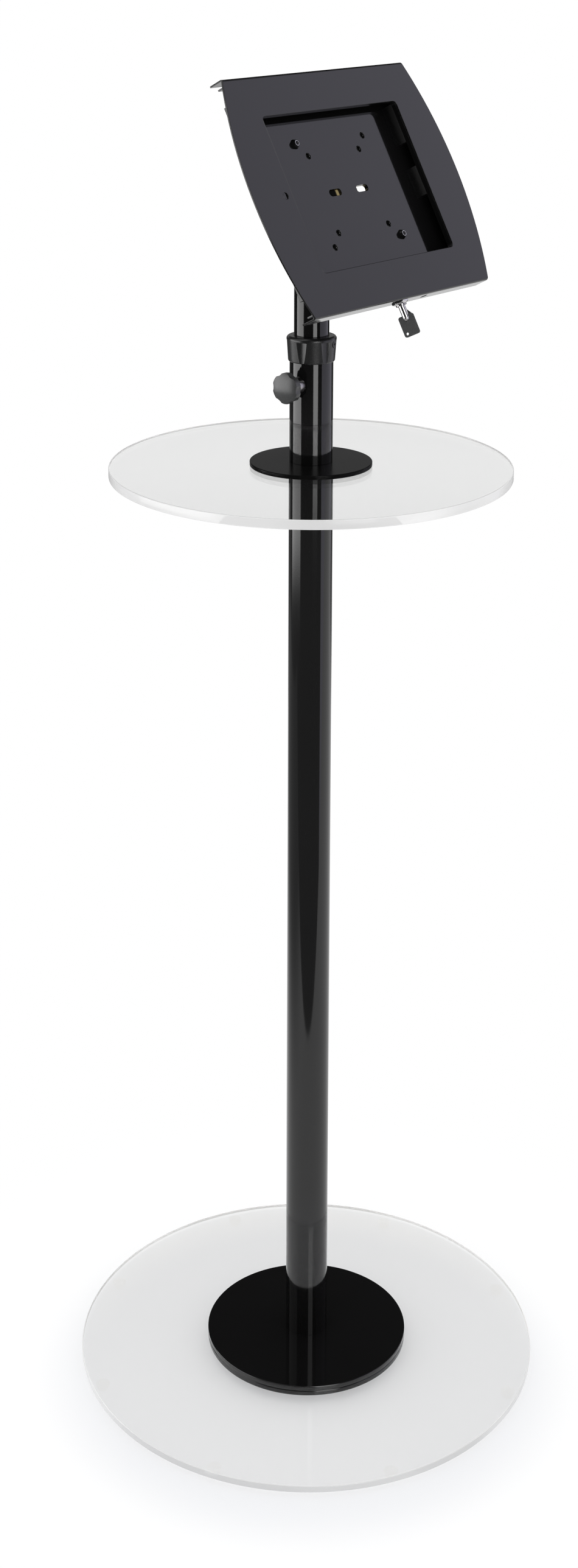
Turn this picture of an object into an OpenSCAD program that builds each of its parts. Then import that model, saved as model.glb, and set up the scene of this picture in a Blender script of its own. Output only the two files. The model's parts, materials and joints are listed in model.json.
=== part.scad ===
// Tablet security kiosk stand: clear base and shelf, telescopic column, tilting lockable tablet enclosure.
// The origin is the middle of the base on the floor, +Z is up, and the enclosure faces -Y.

/* [Base] */
// Diameter of the clear base plate
base_d = 460; // [380:5:560]
// Thickness of the clear base plate
base_t = 6.5; // [5:0.5:12]
// Diameter of each bumper foot
foot_d = 14; // [8:1:20]
// Height of each bumper foot
foot_h = 6; // [6:0.5:12]
// Number of bumper feet
foot_count = 8; // [4:1:12]
// Distance from the base rim to the foot centres
foot_inset = 12; // [11:1:40]
// Angle of the first foot
foot_angle = 15; // [0:1:45]
// Diameter of the two black base discs
disc_d = 202; // [140:2:260]
// Thickness of each black base disc
disc_t = 5; // [4:0.5:10]
// Diameter of the bolt that holds the column to the base
base_bolt_d = 12; // [8:1:16]

/* [Column] */
// Outside diameter of the lower pole
pole_d = 42; // [41:0.5:50]
// Length of the lower pole, from the base discs to the shelf
pole_l = 904; // [700:2:1000]
// Outside diameter of the stub and outer tube above the shelf
tube_d = 41; // [39:0.5:44]
// Inside diameter shared by the lower pole, the stub and the outer tube
tube_bore_d = 37; // [36.5:0.1:37.4]
// Length of the stub between the shelf flange and the seam
stub_l = 38.5; // [30:0.5:60]
// Length of the outer tube between the seam and the collar
outer_l = 58; // [50:1:90]
// Wall of the sleeve that joins pole, shelf, stub and outer tube
sleeve_wall = 1.5; // [1:0.1:1.8]
// Length of the sleeve inside the lower pole
sleeve_down = 40; // [20:1:80]
// Length of the sleeve inside the outer tube
sleeve_up = 22; // [10:1:25]
// Outside diameter of the sliding inner tube
inner_d = 33; // [30:0.1:33]
// Wall of the sliding inner tube
inner_wall = 1.5; // [1:0.1:2.5]
// Length of the sliding inner tube
inner_l = 550; // [480:2:600]
// Length of inner tube that shows above the collar
inner_out = 89.5; // [60:0.5:120]

/* [Shelf] */
// Diameter of the clear shelf
shelf_d = 382; // [300:2:440]
// Thickness of the clear shelf
shelf_t = 9; // [6:0.5:14]
// Diameter of the black shelf flange
flange_d = 116; // [80:1:160]
// Thickness of the black shelf flange
flange_t = 4; // [3:0.5:8]

/* [Collar and clamp] */
// Height of the collar
collar_h = 24.5; // [22:0.5:40]
// Diameter of the collar at its top lip
collar_top_d = 47; // [45:0.5:54]
// Diameter of the collar at its lower rim
collar_low_d = 44; // [43.6:0.2:44.6]
// Depth of the outer tube inside the collar
collar_seat = 10.5; // [8:0.5:15]
// Number of grip flutes on the collar
flute_count = 6; // [4:1:8]
// Direction of the collar screw
collar_screw_angle = -76; // [-110:1:-60]
// Diameter over the lobes of the clamp knob
knob_d = 29; // [24:0.5:40]
// Thickness of the clamp knob
knob_h = 8.5; // [8:0.5:16]
// Number of lobes on the clamp knob
knob_lobes = 6; // [5:1:9]
// Diameter of the clamp stud
stud_d = 8; // [6:0.5:9]
// Height of the clamp axis above the seam
clamp_up = 37.5; // [34:0.5:44]
// Length of the bright threaded boss on the tube
boss_l = 5.5; // [4:0.5:10]

/* [Enclosure] */
// Tilt of the face back from upright
tilt = 28; // [0:1:60]
// Width of the face at its top and bottom edges
face_w = 262; // [256:1:320]
// Height of the face
face_h = 225; // [214:1:260]
// How far each side of the face bows out at half height
side_bulge = 20; // [8:1:40]
// Thickness of the folded sheet
sheet_t = 1.5; // [1:0.1:2]
// Outside radius of the folds
fold_r = 2.5; // [2:0.1:2.9]
// Depth of the top flange of the bezel
top_flange = 15.6; // [15:0.1:16.5]
// Depth of the bottom flange of the bezel
bottom_flange = 16.4; // [15:0.1:20]
// Width of the window in the bezel
window_w = 197.5; // [150:0.5:210]
// Height of the window in the bezel
window_h = 149; // [100:0.5:160]
// Corner radius of the window
window_r = 4.5; // [2:0.5:10]
// Diameter of the small hole in the bottom flange
flange_hole_d = 6.5; // [4:0.5:8]
// Distance of the small hole from the lock
flange_hole_x = 37; // [25:0.5:90]
// Diameter of the camera hole in the bezel
camera_d = 6.5; // [4:0.5:10]
// Distance of the camera hole from the middle of the face
camera_x = 108; // [106:0.5:112]
// Depth of the tray floor behind the front face
tray_depth = 15.4; // [15:0.1:20]
// Width over the side walls of the tray
tray_w = 245; // [238:0.5:250]
// Height of the side walls of the tray
tray_h = 183; // [160:1:186]
// Thickness of the foam pads on the side walls
pad_t = 8; // [2:0.5:10]
// Distance from each side of the face in to the tongues of the tray
tongue_side = 19; // [16:0.5:36]
// Small mounting square on the tray floor
vesa_small = 75; // [70:0.5:80]
// Large mounting square on the tray floor
vesa_large = 100; // [95:0.5:105]
// Diameter of the mounting holes
vesa_hole_d = 5; // [4:0.1:6]

/* [Tilt joint] */
// Distance from the tray floor back to the tilt pivot
pivot_back = 47.9; // [44:0.1:60]
// Height of the tilt pivot above the inner tube
pivot_up = 27.3; // [24:0.1:40]
// Width of the tongue on the mast block
tongue_t = 22; // [16:0.5:24]
// Thickness of the zinc plated tilt bracket
bracket_t = 2.5; // [2:0.1:4]
// Side of the square tilt bracket plate
bracket_w = 118; // [112:1:130]
// Diameter of the tilt bolt
tilt_bolt_d = 10; // [8:0.5:12]

/* [Lock and key] */
// Depth of the lock axis behind the front face
lock_depth = 8.5; // [8.2:0.1:9.2]
// Diameter of the lock barrel
barrel_d = 10; // [9.5:0.1:11]
// Diameter of the lock plug and of the locking cam
plug_d = 8; // [7.8:0.1:8.6]
// Width over the flats of the locking cam
cam_flat = 5; // [4.5:0.1:6]
// Diameter of the tubular key stem
stem_d = 6.4; // [5:0.1:6.6]
// Width of the key bow
bow_w = 14.5; // [11:0.5:20]
// Length of the key bow
bow_l = 19.5; // [14:0.5:30]
// Turn of the key about the lock axis
key_turn = -65; // [-90:1:0]

/* [Clearances] */
// Radial clearance of pieces that are fitted together and stay put
fit_gap = 0.05; // [0.02:0.01:0.1]
// Radial clearance of hinge pins and bolts that turn
pin_gap = 0.05; // [0.02:0.01:0.1]
// Clearance between pieces that move past each other
run_gap = 0.3; // [0.2:0.05:0.5]

/* [Hidden] */
$fn = 96;

gloss_black = [0.05, 0.05, 0.055];
satin_black = [0.12, 0.12, 0.13];
clear_acrylic = [0.85, 0.9, 0.92, 0.5];
bright_steel = [0.75, 0.76, 0.78];
yellow_zinc = [0.78, 0.66, 0.35];
foam_grey = [0.2, 0.2, 0.21];

// Levels of the base and column, from the floor up
base_z = foot_h;
disc_low_z = base_z + base_t;
disc_up_z = disc_low_z + disc_t;
pole_z = disc_up_z + disc_t;
shelf_z = pole_z + pole_l;
flange_z = shelf_z + shelf_t;
stub_z = flange_z + flange_t;
seam_z = stub_z + stub_l;
collar_z = seam_z + outer_l;
collar_top_z = collar_z + collar_h;
inner_top_z = collar_top_z + inner_out;
inner_z = inner_top_z - inner_l;
pivot_z = inner_top_z + pivot_up;
clamp_z = seam_z + clamp_up;

// Base fastening
washer_t = 1.5;
bolt_head_h = 3.5;
plug_l = 30;
bolt_in_plug = 24;

// Sleeve and sliding fits
sleeve_d = tube_bore_d - 2 * fit_gap;
sleeve_bore_d = sleeve_d - 2 * sleeve_wall;
sleeve_hole_d = sleeve_d + 2 * fit_gap;
glide_l = 20;
glide_wall_gap = 0.2;
cap_t = 3;
cap_plug_l = 15;
snap_t = 2;
snap_d = inner_d + 3;
glide_d = tube_bore_d - 2 * glide_wall_gap;

// Collar
collar_bore_gap = 0.15;
lip_r = 3;
low_round = 1.5;
flute_r = 12;
flute_in = -0.35;
flute_top = collar_h - lip_r - 1;
collar_screw_d = 4;
collar_screw_head_d = 7;
collar_screw_head_h = 2;
collar_head_x = collar_top_d / 2 - collar_screw_head_h;
collar_screw_z = collar_z + (collar_seat + collar_h) / 2;

// Clamp, from the inner tube outwards along -X
pad_d = stud_d - 0.6;
clamp_pad_t = 1.3;
pad_face = inner_d / 2 + run_gap;
stud_tip = pad_face + clamp_pad_t;
boss_d = stud_d + 8;
boss_end = tube_d / 2 + boss_l;
knob_gap = 7.5;
knob_back = boss_end + knob_gap;
stud_in_knob = 6;
lobe_cut_r = knob_d * 0.3;
lobe_cut_in = knob_d * 0.045;
dome_r = 45;

// Mast block
block_plug_l = 36;
block_flange_t = 4;
block_round_r = 14;
mast_screw_d = 5;
mast_screw_head_d = 9;
mast_screw_head_h = 2;
mast_screw_down = 18;

// Enclosure, seen in its own frame: X across, Y back from the face, Z up the face
half_w = face_w / 2;
half_h = face_h / 2;
mid_half_w = half_w + side_bulge;
tongue_w = face_w - 2 * tongue_side;
side_r = (half_h * half_h + side_bulge * side_bulge) / (2 * side_bulge);
deep = top_flange + bottom_flange;
floor_back = tray_depth + sheet_t;
bracket_back = floor_back + bracket_t;
pivot_depth = tray_depth + pivot_back;
hook_gap = 2.2;
foot_gap = 5;
tongue_top = half_h - sheet_t - hook_gap;
tongue_low = half_h - sheet_t - foot_gap;
tongue_front = 4.6;
wall_front = sheet_t + 0.5;
wall_chamfer = 5;
slot_x = 20;
slot_l = 17.5;
slot_w = 6.5;
lug_x = 70;
lug_w = 20;
lug_y = tray_depth - run_gap - sheet_t / 2 - 0.3;
lug_l = 5;
bead_d = sheet_t + 0.4;
bead_down = 1.2;
lug_slot_front = 6.2;
screw_head_d = 9.6;
screw_top_d = 6.2;
screw_head_h = 3.6;
screw_socket_d = 3.8;
screw_socket_h = 2;
screw_pin_d = 1.4;
screw_gap = 0.05;
nut_flats = 8;
nut_h = 4;
bracket_hole_extra = 1.6;
tapped_less = 0.8;
pad_upper = [38, 77];
pad_lower = [-15.5, 13.5];

// Bezel strips at the four corners
strip_back = 9;
strip_up = 12;
strip_in = tongue_w / 2 + 2;
strip_out = half_w - 2;
strip_drop = 6;
strip_low_drop = 4;

// Tilt joint
ear_in = tongue_t / 2 + run_gap;
ear_out = ear_in + bracket_t;
ear_r = 14;
ear_root = 25;
tilt_washer_t = 1.5;
tilt_head_h = 6.4;
tilt_nut_h = 8;
tilt_flats = tilt_bolt_d * 1.6;

// Lock, measured down from the bottom flange
lock_low = -half_h;
collar_hex = barrel_d + 3.6;
collar_hex_h = 3;
barrel_below = 4;
barrel_low = lock_low - barrel_below;
lock_nut_h = 2.5;
lock_nut_flats = 2 * (lock_depth - fold_r - 0.1);
barrel_top = lock_low + sheet_t + lock_nut_h + 0.7;
plug_face = barrel_low + 0.5;
tray_foot_low = -tongue_low;
cam_low = barrel_top + 0.4;
cam_top = tray_foot_low + sheet_t + 1.5;
cam_pin_d = 3.4;
cam_nut_flats = 6;
cam_nut_h = 1.6;
cam_seat_gap = 0.3;
key_in = 6;
key_pin_d = 3.2;
stem_bore_d = 3.8;
bow_t = 2.5;
bow_r = 2;
bow_top = plug_face - 9.7;
stem_low = bow_top - 2.5;
tang_t = 1.2;
tang_top = plug_face - 1.5;
tang_w = bow_w / 2 - 1;
ring_hole_d = 2.6;
ring_hole_in = 3;

// Moves what is drawn in the enclosure's own frame to its place on the mast
module in_enclosure() {
    translate([0, 0, pivot_z])
        rotate([-tilt, 0, 0])
            translate([0, -pivot_depth, 0])
                children();
}

// Draws an outline of width and height as a sheet that starts y0 behind the face
module sheet_back(y0, t) {
    translate([0, y0 + t, 0])
        rotate([90, 0, 0])
            linear_extrude(t)
                children();
}

// Draws an outline of depth and height as a sheet that starts at x0
module sheet_across(x0, t) {
    translate([x0, 0, 0])
        rotate([90, 0, 90])
            linear_extrude(t)
                children();
}

module tube(outer, inner, z0, l) {
    translate([0, 0, z0])
        difference() {
            cylinder(d = outer, h = l);
            translate([0, 0, -1])
                cylinder(d = inner, h = l + 2);
        }
}

module plate(d, hole, z0, t) {
    tube(d, hole, z0, t);
}

// A cylinder along +X that starts at x0
module bar_x(d, x0, l) {
    translate([x0, 0, 0])
        rotate([0, 90, 0])
            cylinder(d = d, h = l);
}

// A hexagon by its width over flats
module hexagon(flats) {
    circle(d = flats / cos(30), $fn = 6);
}

module rounded_box(w, h, r) {
    square([w - 2 * r, h], center = true);
    square([w, h - 2 * r], center = true);
    for (sx = [-1, 1])
        for (sy = [-1, 1])
            translate([sx * (w / 2 - r), sy * (h / 2 - r)])
                circle(r);
}

module base_plate() {
    color(clear_acrylic)
        plate(base_d, base_bolt_d + 2 * fit_gap, base_z, base_t);
}

module base_feet() {
    color(clear_acrylic)
        for (i = [0 : foot_count - 1])
            rotate(foot_angle + i * 360 / foot_count)
                translate([base_d / 2 - foot_inset, 0, 0])
                    cylinder(d1 = foot_d * 0.7, d2 = foot_d, h = foot_h);
}

module base_disc_lower() {
    color(gloss_black)
        plate(disc_d, base_bolt_d + 2 * fit_gap, disc_low_z, disc_t);
}

module base_disc_upper() {
    color(gloss_black)
        plate(disc_d, base_bolt_d + 2 * fit_gap, disc_up_z, disc_t);
}

module base_washer() {
    color(bright_steel)
        plate(base_bolt_d * 2.4, base_bolt_d + 2 * fit_gap, base_z - washer_t, washer_t);
}

module base_bolt() {
    color(bright_steel) {
        translate([0, 0, base_z - washer_t - bolt_head_h])
            linear_extrude(bolt_head_h)
                hexagon(base_bolt_d * 1.6);
        translate([0, 0, base_z - washer_t - 0.5])
            cylinder(d = base_bolt_d, h = washer_t + 0.5 + base_t + 2 * disc_t + bolt_in_plug);
    }
}

module pole_foot_plug() {
    color(bright_steel)
        tube(tube_bore_d - 2 * fit_gap, base_bolt_d + 2 * fit_gap, pole_z, plug_l);
}

module lower_pole() {
    color(gloss_black)
        tube(pole_d, tube_bore_d, pole_z, pole_l);
}

module coupling_sleeve() {
    color(bright_steel)
        tube(sleeve_d, sleeve_bore_d, shelf_z - sleeve_down, sleeve_down + seam_z - shelf_z + sleeve_up);
}

module shelf_plate() {
    color(clear_acrylic)
        plate(shelf_d, sleeve_hole_d, shelf_z, shelf_t);
}

module shelf_flange() {
    color(gloss_black)
        plate(flange_d, sleeve_hole_d, flange_z, flange_t);
}

module stub_tube() {
    color(gloss_black)
        tube(tube_d, tube_bore_d, stub_z, stub_l);
}

module outer_tube() {
    color(gloss_black)
        difference() {
            tube(tube_d, tube_bore_d, seam_z, outer_l + collar_seat);
            translate([0, 0, clamp_z])
                bar_x(stud_d + 2 * pin_gap, -tube_d, tube_d);
        }
}

// Section of the collar from its bore to its rounded top lip
module collar_section() {
    low_r = collar_low_d / 2;
    top_r = collar_top_d / 2;
    bore_r = inner_d / 2 + collar_bore_gap;
    seat_r = tube_d / 2 + fit_gap;
    difference() {
        union() {
            polygon([
                [bore_r, 0],
                [low_r - low_round, 0],
                [low_r - low_round, low_round],
                [low_r, low_round],
                [top_r, collar_h - lip_r],
                [top_r - lip_r, collar_h - lip_r],
                [top_r - lip_r, collar_h],
                [bore_r, collar_h]
            ]);
            translate([top_r - lip_r, collar_h - lip_r])
                circle(lip_r);
            translate([low_r - low_round, low_round])
                circle(low_round);
        }
        translate([0, -1])
            square([seat_r, collar_seat + 1]);
    }
}

// Frame of the collar screw, with +X pointing out along it
module at_collar_screw() {
    rotate(collar_screw_angle)
        translate([0, 0, collar_screw_z])
            children();
}

module collar() {
    color(satin_black)
        difference() {
            translate([0, 0, collar_z])
                rotate_extrude()
                    collar_section();
            for (i = [0 : flute_count - 1])
                rotate((i + 0.5) * 360 / flute_count + collar_screw_angle)
                    translate([collar_low_d / 2 + flute_in + flute_r, 0, collar_z - 1])
                        cylinder(r = flute_r, h = flute_top + 1);
            at_collar_screw() {
                bar_x(collar_screw_d + 2 * fit_gap, inner_d / 2 - 1, collar_top_d);
                bar_x(collar_screw_head_d + 2 * fit_gap, collar_head_x, collar_top_d);
            }
        }
}

module collar_screw() {
    tip_x = inner_d / 2 + 2 * run_gap;
    color(bright_steel)
        at_collar_screw()
            difference() {
                union() {
                    bar_x(collar_screw_d, tip_x, collar_head_x - tip_x + 0.5);
                    bar_x(collar_screw_head_d, collar_head_x, collar_screw_head_h);
                }
                for (turn = [0, 90])
                    translate([collar_head_x + collar_screw_head_h, 0, 0])
                        rotate([turn, 0, 0])
                            cube([1.6, 0.9, collar_screw_head_d * 0.6], center = true);
            }
}

module clamp_boss() {
    color(bright_steel)
        difference() {
            translate([0, 0, clamp_z])
                bar_x(boss_d, -boss_end, boss_l + tube_d / 4);
            translate([0, 0, clamp_z - boss_d])
                cylinder(d = tube_d + 2 * fit_gap, h = 2 * boss_d);
            translate([0, 0, clamp_z])
                bar_x(stud_d + 2 * pin_gap, -boss_end - 1, boss_end);
        }
}

module clamp_knob() {
    color(satin_black)
        translate([-knob_back, 0, clamp_z])
            rotate([0, -90, 0])
                difference() {
                    intersection() {
                        linear_extrude(knob_h)
                            difference() {
                                circle(d = knob_d);
                                for (i = [0 : knob_lobes - 1])
                                    rotate((i + 0.5) * 360 / knob_lobes)
                                        translate([knob_d / 2 + lobe_cut_r - lobe_cut_in, 0])
                                            circle(lobe_cut_r);
                            }
                        translate([0, 0, knob_h - dome_r])
                            sphere(dome_r);
                    }
                    translate([0, 0, -1])
                        cylinder(d = stud_d + 2 * fit_gap, h = stud_in_knob + 1);
                }
}

module clamp_stud() {
    color(bright_steel)
        translate([0, 0, clamp_z])
            bar_x(stud_d, -knob_back - stud_in_knob, knob_back + stud_in_knob - stud_tip);
}

module clamp_pad() {
    color("ivory")
        translate([0, 0, clamp_z])
            bar_x(pad_d, -stud_tip, clamp_pad_t);
}

module glide_ring() {
    color("ivory")
        tube(glide_d, inner_d + 2 * pin_gap, inner_z + run_gap, glide_l);
}

module inner_tube() {
    color(gloss_black)
        difference() {
            tube(inner_d, inner_d - 2 * inner_wall, inner_z, inner_l);
            at_mast_screws()
                bar_x(mast_screw_d + 2 * fit_gap, 5, inner_d);
        }
}

module mast_cap() {
    plug_d_in = inner_d - 2 * inner_wall - 2 * fit_gap;
    color(satin_black) {
        translate([0, 0, inner_z - cap_t])
            cylinder(d = snap_d, h = cap_t);
        translate([0, 0, inner_z - 0.5])
            cylinder(d = plug_d_in, h = cap_plug_l);
    }
}

module snap_ring() {
    color(bright_steel)
        tube(snap_d, inner_d + 2 * fit_gap, inner_z + glide_l + 2 * run_gap, snap_t);
}

module at_mast_screws() {
    for (side = [0, 180])
        rotate(90 + side)
            translate([0, 0, inner_top_z - mast_screw_down])
                children();
}

module mast_block() {
    color(satin_black)
        difference() {
            union() {
                translate([0, 0, inner_top_z - block_plug_l])
                    cylinder(d = inner_d - 2 * inner_wall - 2 * fit_gap, h = block_plug_l + 0.5);
                translate([0, 0, inner_top_z])
                    cylinder(d = inner_d, h = block_flange_t);
                translate([-tongue_t / 2, -block_round_r, inner_top_z + block_flange_t - 0.5])
                    cube([tongue_t, 2 * block_round_r, pivot_up - block_flange_t + 0.5]);
                translate([0, 0, pivot_z])
                    bar_x(2 * block_round_r, -tongue_t / 2, tongue_t);
            }
            translate([0, 0, pivot_z])
                bar_x(tilt_bolt_d + 2 * pin_gap, -tongue_t, 2 * tongue_t);
            at_mast_screws()
                bar_x(mast_screw_d + 2 * fit_gap, 5, inner_d);
        }
}

module mast_screws() {
    color(bright_steel)
        at_mast_screws() {
            bar_x(mast_screw_d, 6, inner_d / 2 - 6 + 0.5);
            difference() {
                bar_x(mast_screw_head_d, inner_d / 2 - 0.4, mast_screw_head_h);
                translate([0, 0, -mast_screw_head_d])
                    cylinder(d = inner_d + 2 * fit_gap, h = 2 * mast_screw_head_d);
            }
        }
}

// Corner places of a mounting square
function square_corners(s) = [for (sx = [-1, 1]) for (sz = [-1, 1]) [sx * s / 2, sz * s / 2]];

module mounting_holes(d) {
    for (p = concat(square_corners(vesa_small), square_corners(vesa_large)))
        translate(p)
            circle(d = d);
    for (side = [-1, 1])
        translate([side * slot_x, 0])
            rounded_box(slot_l, slot_w, slot_w / 2 - 0.01);
}

module tilt_bracket() {
    color(yellow_zinc)
        in_enclosure() {
            sheet_back(floor_back, bracket_t)
                difference() {
                    rounded_box(bracket_w, bracket_w, 6);
                    mounting_holes(vesa_hole_d - tapped_less);
                    for (p = [[-vesa_large / 2, vesa_large / 2], [vesa_large / 2, -vesa_large / 2]])
                        translate(p)
                            circle(d = vesa_hole_d + bracket_hole_extra);
                }
            for (x0 = [-ear_out, ear_in])
                sheet_across(x0, bracket_t)
                    difference() {
                        union() {
                            polygon([
                                [floor_back, -ear_root],
                                [floor_back, ear_root],
                                [pivot_depth, ear_r],
                                [pivot_depth, -ear_r]
                            ]);
                            translate([pivot_depth, 0])
                                circle(ear_r);
                        }
                        translate([pivot_depth, 0])
                            circle(d = tilt_bolt_d + 2 * pin_gap);
                    }
        }
}

module at_pivot() {
    translate([0, 0, pivot_z])
        rotate([-tilt, 0, 0])
            children();
}

module tilt_bolt() {
    head_x = -ear_out - tilt_washer_t;
    color(bright_steel)
        at_pivot() {
            translate([head_x - tilt_head_h, 0, 0])
                rotate([0, 90, 0])
                    linear_extrude(tilt_head_h)
                        hexagon(tilt_flats);
            bar_x(tilt_bolt_d, head_x - 0.5, 0.5 - head_x + ear_out + tilt_washer_t + tilt_nut_h + 2);
        }
}

module tilt_washers() {
    color(bright_steel)
        at_pivot()
            for (x0 = [-ear_out - tilt_washer_t, ear_out])
                difference() {
                    bar_x(tilt_bolt_d * 2, x0, tilt_washer_t);
                    bar_x(tilt_bolt_d + 2 * fit_gap, x0 - 1, tilt_washer_t + 2);
                }
}

module tilt_nut() {
    nut_x = ear_out + tilt_washer_t;
    color(bright_steel)
        at_pivot()
            difference() {
                translate([nut_x, 0, 0])
                    rotate([0, 90, 0])
                        linear_extrude(tilt_nut_h)
                            hexagon(tilt_flats);
                bar_x(tilt_bolt_d + 2 * fit_gap, nut_x - 1, tilt_nut_h + 2);
            }
}

// Side wall of the tray with its front corners cut off
module tray_wall() {
    polygon([
        [wall_front + wall_chamfer, -tray_h / 2],
        [floor_back, -tray_h / 2],
        [floor_back, tray_h / 2],
        [wall_front + wall_chamfer, tray_h / 2],
        [wall_front, tray_h / 2 - wall_chamfer],
        [wall_front, -tray_h / 2 + wall_chamfer]
    ]);
}

// Outline of a tray tongue's forward flange, seen from above
module tongue_flange() {
    translate([-tongue_w / 2, tongue_front])
        square([tongue_w, floor_back - tongue_front]);
}

module tray() {
    color(gloss_black)
        in_enclosure() {
            sheet_back(tray_depth, sheet_t)
                difference() {
                    union() {
                        square([tray_w, tray_h], center = true);
                        translate([-tongue_w / 2, -tongue_low])
                            square([tongue_w, tongue_low + tongue_top]);
                    }
                    mounting_holes(vesa_hole_d);
                }
            for (x0 = [-tray_w / 2, tray_w / 2 - sheet_t])
                sheet_across(x0, sheet_t)
                    tray_wall();
            translate([0, 0, tongue_top - sheet_t])
                linear_extrude(sheet_t)
                    difference() {
                        tongue_flange();
                        for (side = [-1, 1])
                            translate([side * lug_x - lug_w / 2 - run_gap, lug_slot_front])
                                square([lug_w + 2 * run_gap, tray_depth - lug_slot_front]);
                    }
            translate([0, 0, -tongue_low])
                linear_extrude(sheet_t)
                    difference() {
                        tongue_flange();
                        translate([0, lock_depth])
                            circle(d = plug_d + 2 * cam_seat_gap);
                        translate([-cam_flat / 2 - cam_seat_gap, 0])
                            square([cam_flat + 2 * cam_seat_gap, lock_depth]);
                    }
        }
}

module at_tray_screws() {
    for (p = [[-1, 1], [1, -1]])
        translate([p[0] * vesa_large / 2, 0, p[1] * vesa_large / 2])
            children();
}

module tray_screws() {
    shank_d = vesa_hole_d - 2 * screw_gap;
    color(gloss_black)
        in_enclosure()
            at_tray_screws() {
                difference() {
                    translate([0, tray_depth, 0])
                        rotate([90, 0, 0])
                            cylinder(d1 = screw_head_d, d2 = screw_top_d, h = screw_head_h);
                    sheet_back(tray_depth - screw_head_h - 1, screw_socket_h + 1)
                        difference() {
                            hexagon(screw_socket_d);
                            circle(d = screw_pin_d);
                        }
                }
                sheet_back(tray_depth - 0.5, 0.5 + sheet_t + bracket_t + nut_h + 1.5)
                    circle(d = shank_d);
            }
}

module tray_nuts() {
    color(bright_steel)
        in_enclosure()
            at_tray_screws()
                sheet_back(bracket_back, nut_h)
                    difference() {
                        hexagon(nut_flats);
                        circle(d = vesa_hole_d);
                    }
}

module foam_pads() {
    wall_x = tray_w / 2 - sheet_t;
    color(foam_grey)
        in_enclosure()
            for (x0 = [-wall_x, wall_x - pad_t])
                for (span = [pad_lower, pad_upper])
                    translate([x0, wall_front, span[0]])
                        cube([pad_t, tray_depth - wall_front, span[1] - span[0]]);
}

// The two bowed sides of the face: the folds at its top and bottom cut them off
module face_sides() {
    intersection() {
        translate([side_r - mid_half_w, 0])
            circle(side_r, $fn = 200);
        translate([mid_half_w - side_r, 0])
            circle(side_r, $fn = 200);
    }
}

// Solid section of the folded sheet, rounded at its two front corners
module fold_section(front, half, r) {
    translate([front + r, -half])
        square([deep, 2 * half]);
    translate([front, r - half])
        square([deep, 2 * (half - r)]);
    for (side = [-1, 1])
        translate([front + r, side * (half - r)])
            circle(r);
}

module bezel_section() {
    difference() {
        intersection() {
            fold_section(0, half_h, fold_r);
            union() {
                square([top_flange, half_h]);
                translate([0, -half_h])
                    square([bottom_flange, half_h]);
            }
        }
        fold_section(sheet_t, half_h - sheet_t, fold_r - sheet_t);
    }
}

module front_bezel() {
    color(gloss_black)
        in_enclosure() {
            difference() {
                intersection() {
                    sheet_across(-mid_half_w, 2 * mid_half_w)
                        bezel_section();
                    sheet_back(-1, deep)
                        face_sides();
                }
                sheet_back(-1, sheet_t + 2)
                    rounded_box(window_w, window_h, window_r);
                translate([-camera_x, 0, 0])
                    sheet_back(-1, sheet_t + 2)
                        circle(d = camera_d);
                translate([0, lock_depth, lock_low - 1])
                    cylinder(d = barrel_d + 2 * fit_gap, h = sheet_t + 2);
                translate([flange_hole_x, lock_depth, lock_low - 1])
                    cylinder(d = flange_hole_d, h = sheet_t + 2);
            }
            for (side = [-1, 1]) {
                translate([side * lug_x - lug_w / 2, lug_y - sheet_t / 2, half_h - sheet_t - lug_l])
                    cube([lug_w, sheet_t, lug_l + sheet_t / 2]);
                translate([0, lug_y, half_h - sheet_t - bead_down])
                    bar_x(bead_d, side * lug_x - lug_w / 2, lug_w);
            }
        }
}

// Angle strip: one leg lies on the back of the face, the other stands back from it
module strip_section(drop, up_leg) {
    translate([sheet_t, half_h - drop - sheet_t])
        square([strip_back, sheet_t]);
    translate([sheet_t, half_h - drop - up_leg])
        square([sheet_t, up_leg]);
}

module bezel_strips() {
    color(gloss_black)
        in_enclosure()
            for (x0 = [-strip_out, strip_in])
                sheet_across(x0, strip_out - strip_in) {
                    strip_section(strip_drop, strip_up);
                    mirror([0, 1])
                        strip_section(strip_low_drop, strip_up);
                }
}

module on_lock_axis() {
    in_enclosure()
        translate([0, lock_depth, 0])
            children();
}

module lock_barrel() {
    color(bright_steel)
        on_lock_axis()
            tube(barrel_d, plug_d + 2 * pin_gap, barrel_low, barrel_top - barrel_low);
}

module lock_collar() {
    color(bright_steel)
        on_lock_axis()
            translate([0, 0, lock_low - collar_hex_h])
                difference() {
                    intersection() {
                        linear_extrude(collar_hex_h)
                            hexagon(collar_hex);
                        translate([0, 0, collar_hex * 0.74])
                            sphere(d = collar_hex * 1.62);
                    }
                    translate([0, 0, -1])
                        cylinder(d = barrel_d + 2 * fit_gap, h = collar_hex_h + 2);
                }
}

module lock_nut() {
    color(bright_steel)
        on_lock_axis()
            translate([0, 0, lock_low + sheet_t])
                linear_extrude(lock_nut_h)
                    difference() {
                        hexagon(lock_nut_flats);
                        circle(d = barrel_d + 2 * fit_gap);
                    }
}

module lock_plug() {
    color(bright_steel)
        on_lock_axis() {
            difference() {
                translate([0, 0, plug_face])
                    cylinder(d = plug_d, h = cam_low - plug_face);
                translate([0, 0, plug_face - 1])
                    cylinder(d = stem_d + 2 * pin_gap, h = key_in + 1);
            }
            translate([0, 0, plug_face + 0.5])
                cylinder(d = key_pin_d, h = key_in);
            translate([0, 0, cam_low - 0.5])
                cylinder(d = cam_pin_d, h = cam_top - cam_low + cam_nut_h + 0.5);
        }
}

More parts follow.
